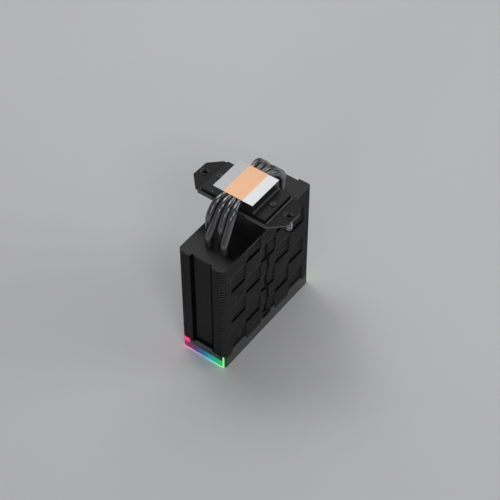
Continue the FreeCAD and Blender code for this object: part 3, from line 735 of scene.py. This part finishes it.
def build_spring(side_name):
    """Compression spring with closed and ground end coils."""
    node = "spring_" + side_name
    low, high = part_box(node)
    centre = (low + high) / 2
    mean_radius = (high.x - low.x) / 2 - WIRE_RADIUS
    ground_low, ground_high = low.z + GROUND_OFF, high.z - GROUND_OFF
    rings = []
    for step in range(int(TOTAL_TURNS * COIL_STEPS) + 1):
        turn = step / COIL_STEPS
        middle_z = coil_height(turn, low.z + WIRE_RADIUS, high.z - WIRE_RADIUS)
        ring = []
        for place in range(WIRE_STEPS):
            phase = 2 * math.pi * place / WIRE_STEPS
            height = middle_z + WIRE_RADIUS * math.sin(phase)
            ring.append(round_point(centre, mean_radius + WIRE_RADIUS * math.cos(phase),
                                    2 * math.pi * turn, min(max(height, ground_low), ground_high)))
        rings.append(ring)
    spring = finished(skinned(node + "_coil", rings), "cooler", "springs", node)
    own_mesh(spring)


def build_clip_and_washer(side_name):
    """The clip in the screw's groove turns with it; the washer under its head doesn't."""
    clip, washer = "retaining_clip_" + side_name, "spring_washer_" + side_name
    finished(softened(clip, CLIP_ROUNDING), "screw_" + side_name, "retaining_clips", clip)
    finished(softened(washer, WASHER_ROUNDING), "washer_" + side_name, "washers", washer)


# ---------------------------------------------------------------- stage, light and camera
FLOOR_SIZE = 8.0
ROOM_COLOUR = (0.95, 0.97, 1.0, 1.0)
ROOM_STRENGTH = 0.12
CAMERA_AZIMUTH = math.radians(-53.62)
CAMERA_ELEVATION = math.radians(47.79)
CAMERA_DISTANCE = 1206.13 * MM
CAMERA_TARGET = Vector((5.26, 0.0, 74.91)) * MM
CAMERA_LENS = 105.09              # focal length in millimetres ...
CAMERA_SENSOR = 36.0              # ... for a sensor this wide
CAMERA_NEAR = 0.05                # nothing closer than this is drawn


def build_stage():
    """Plain pale floor under the cooler."""
    bpy.ops.mesh.primitive_plane_add(size=FLOOR_SIZE, location=(0.0, 0.0, 0.0))
    floor = bpy.context.object
    floor.name = "studio_floor"
    g = Graph("studio_floor_paint")
    g.set(Base_Color=g.mix(g.noise(3.0), (0.78, 0.78, 0.79), (0.82, 0.82, 0.83)), Roughness=0.8,
          Specular_IOR_Level=0.2)
    floor.data.materials.append(g.material)


def area_light(name, direction, distance, size, radiance):
    """Rectangular soft box that faces the middle of the cooler; its surface is this bright."""
    towards = Vector(direction).normalized()
    light = bpy.data.lights.new(name, "AREA")
    light.shape = "RECTANGLE"
    light.size, light.size_y = size
    light.energy = radiance * math.pi * size[0] * size[1]
    lamp = new_object(name, light)
    lamp.location = TOWER_MIDDLE + towards * distance
    lamp.rotation_euler = (-towards).to_track_quat("-Z", "Y").to_euler()


def build_lights():
    """A broad soft box behind, a key above, boxes in front, right and left, and a dim room."""
    area_light("back_softbox", (0.54, 0.40, 0.74), distance=1.0, size=(1.1, 0.9), radiance=0.80)
    area_light("top_key", (0.10, 0.55, 1.0), distance=1.3, size=(0.5, 0.5), radiance=3.5)
    area_light("front_box", (-0.45, -0.60, 0.72), distance=1.5, size=(0.4, 0.4), radiance=5.5)
    area_light("right_box", (0.54, -0.76, 0.42), distance=1.2, size=(0.6, 0.5), radiance=2.6)
    area_light("left_box", (-0.90, -0.25, 0.40), distance=1.3, size=(0.4, 0.4), radiance=2.5)
    world = bpy.data.worlds.new("studio_room")
    world.use_nodes = True
    background = world.node_tree.nodes["Background"]
    background.inputs["Color"].default_value = ROOM_COLOUR
    background.inputs["Strength"].default_value = ROOM_STRENGTH
    bpy.context.scene.world = world


def build_camera():
    """High three-quarter view over the -X, -Y corner."""
    back = Vector((math.sin(CAMERA_AZIMUTH) * math.cos(CAMERA_ELEVATION),
                   -math.cos(CAMERA_AZIMUTH) * math.cos(CAMERA_ELEVATION),
                   math.sin(CAMERA_ELEVATION)))
    data = bpy.data.cameras.new("camera")
    data.lens = CAMERA_LENS
    data.sensor_width = CAMERA_SENSOR
    data.clip_start = CAMERA_NEAR
    camera = new_object("camera", data)
    camera.location = CAMERA_TARGET + back * CAMERA_DISTANCE
    camera.rotation_euler = (-back).to_track_quat("-Z", "Y").to_euler()
    bpy.context.scene.camera = camera


# ---------------------------------------------------------------- build
build_camera()
build_stage()
build_lights()
paint_cad_nodes()
build_fins()
build_shells()
build_fixing_screws()
for side_name in ("front", "rear"):
    build_spring_screw(side_name)
    build_clip_and_washer(side_name)
    build_spring(side_name)
bpy.context.scene.view_settings.view_transform = "Standard"
